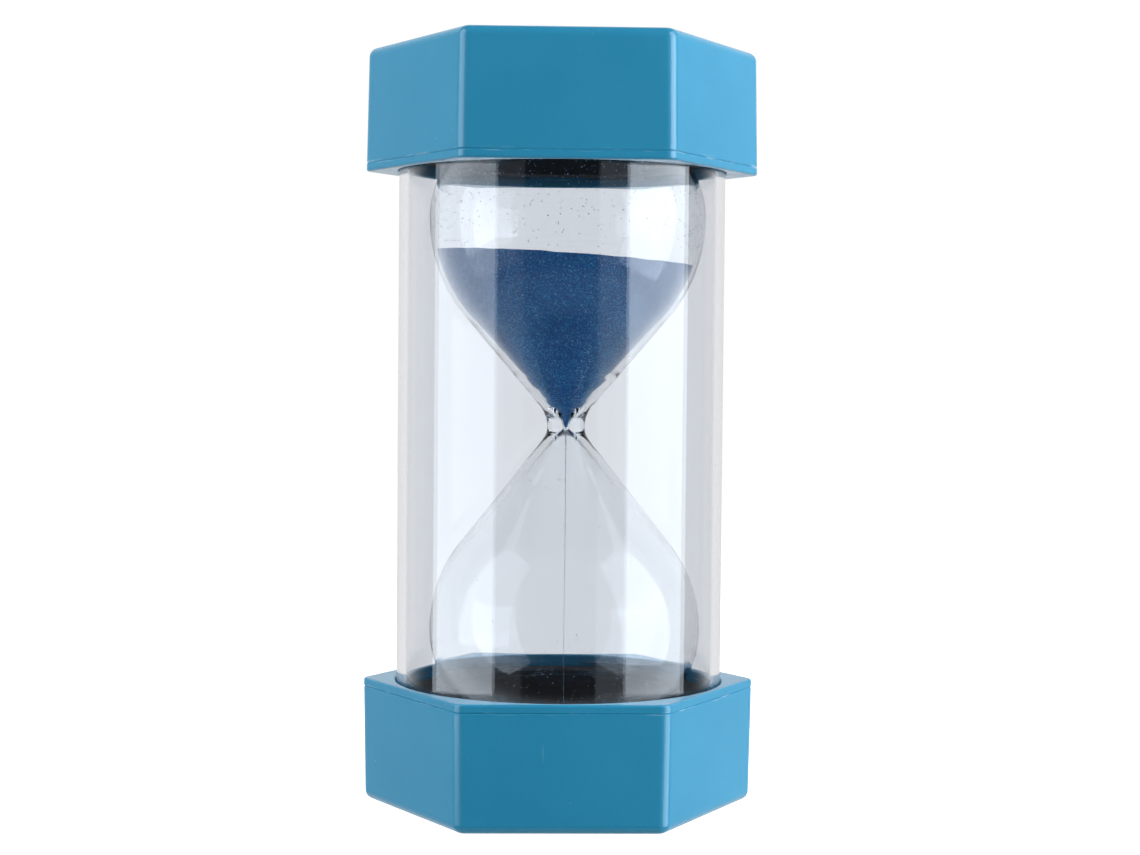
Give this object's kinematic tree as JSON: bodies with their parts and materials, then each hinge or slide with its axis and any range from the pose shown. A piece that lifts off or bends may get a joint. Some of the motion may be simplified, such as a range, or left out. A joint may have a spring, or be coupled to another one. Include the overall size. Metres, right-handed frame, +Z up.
{
  "type": "hourglass",
  "caption": "Sand timer: blown-glass double bulb with blue sand, foam-seated in a clear guard tube between hexagonal plastic end caps.",
  "frame": {"origin": "centre of the lower end face, where the timer stands", "axes": "+Z up along the tube; two corners of the hexagon on the X axis, flats facing -Y and +Y"},
  "size_m": [0.0832, 0.0728, 0.16],
  "materials": {
    "blue_plastic": "fine satin moulded",
    "clear_plastic": "polished clear",
    "clear_glass": "fire-polished",
    "black_foam": "closed-cell foam",
    "blue_sand": "fine dyed quartz grains",
    "plug_rubber": "soft matte"
  },
  "bodies": {
    "case": {"lower_cap_shell": "blue_plastic", "lower_cap_collar": "blue_plastic", "upper_cap_shell": "blue_plastic", "upper_cap_collar": "blue_plastic", "lower_cushion": "black_foam", "upper_cushion": "black_foam", "lower_seat_ring": "black_foam", "upper_seat_ring": "black_foam", "outer_tube": "clear_plastic", "glass_vessel": "clear_glass", "filling_plug": "plug_rubber", "sand_reserve": "blue_sand", "sand_stream": "blue_sand"},
    "sand_level": {"sand_core": "blue_sand"},
    "heap": {"sand_heap": "blue_sand"}
  },
  "joints": [
    {"name": "sand_runs_down", "type": "slide", "parent": "case", "child": "sand_level", "axis": [0, 0, -1], "range_m": [0, 0.0078], "deforming": ["sand_core"]},
    {"name": "heap_rises", "type": "slide", "parent": "case", "child": "heap", "axis": [0, 0, 1], "range_m": [0, 0.0068], "deforming": ["sand_heap"]}
  ],
  "couplings": [
    {"joint": "heap_rises", "follows": "sand_runs_down", "ratio": 0.86}
  ]
}
